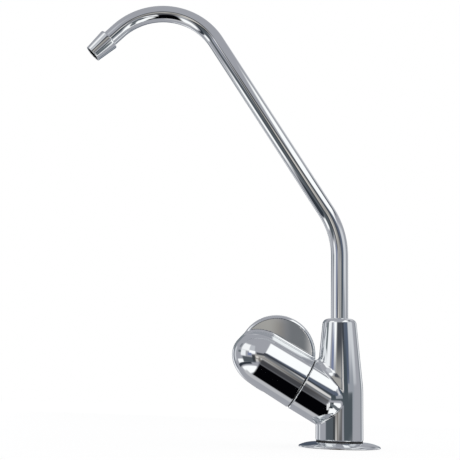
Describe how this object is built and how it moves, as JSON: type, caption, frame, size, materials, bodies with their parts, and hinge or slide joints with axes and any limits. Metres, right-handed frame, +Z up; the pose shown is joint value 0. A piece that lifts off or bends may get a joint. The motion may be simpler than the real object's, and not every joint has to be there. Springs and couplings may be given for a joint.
{
  "type": "drinking water filter tap",
  "caption": "Chrome drinking water filter tap: tapered column, swivel goose-neck spout with a conical nozzle, and a tilted quarter-turn barrel lever with a round finger disc.",
  "frame": {"origin": "middle of the deck hole at the height of the worktop's face, which the base gasket and cover plate sit on", "axes": "+Z up along the column and the threaded shank; -Y towards the user, the way the spout and the lever barrel reach; +X to the right when seen from behind the tap"},
  "size_m": [0.046, 0.1795, 0.322],
  "materials": {
    "chrome": "bright polished chrome plate",
    "brass": "machined brass",
    "rubber": "matt black rubber",
    "steel": "bright zinc plated steel",
    "black_plastic": "moulded black acetal",
    "white_plastic": "natural white acetal",
    "ceramic": "lapped white alumina"
  },
  "bodies": {
    "column": {"body": "chrome", "cover_plate": "chrome", "base_gasket": "rubber", "threaded_shank": "brass", "clamp_washer": "black_plastic", "lock_washer": "steel", "deck_nut": "brass", "inlet_nut": "brass", "inlet_sleeve": "brass", "cartridge_body": "brass", "fixed_disc": "ceramic", "seat_seal": "rubber", "housing_o_ring": "rubber", "spout_bush": "black_plastic", "spout_slip_washer": "white_plastic"},
    "lever": {"lever_handle": "chrome", "handle_insert": "white_plastic", "handle_grub_screw": "steel", "spindle": "brass", "moving_disc": "ceramic", "thrust_washer": "white_plastic", "spindle_circlip": "steel", "spindle_o_ring_inner": "rubber", "spindle_o_ring_outer": "rubber"},
    "spout": {"spout_tube": "chrome", "spout_stem": "brass", "spout_o_ring_lower": "rubber", "spout_o_ring_upper": "rubber", "nozzle": "chrome", "flow_straightener": "black_plastic"}
  },
  "joints": [
    {"name": "lever_turn", "type": "hinge", "parent": "column", "child": "lever", "pos_m": [0, -0.02182, 0.0351], "axis": [0, -0.866, 0.5], "range_deg": [-90, 0]},
    {"name": "spout_swivel", "type": "hinge", "parent": "column", "child": "spout", "pos_m": [0, 0, 0.0725], "axis": [0, 0, 1], "continuous": true}
  ]
}
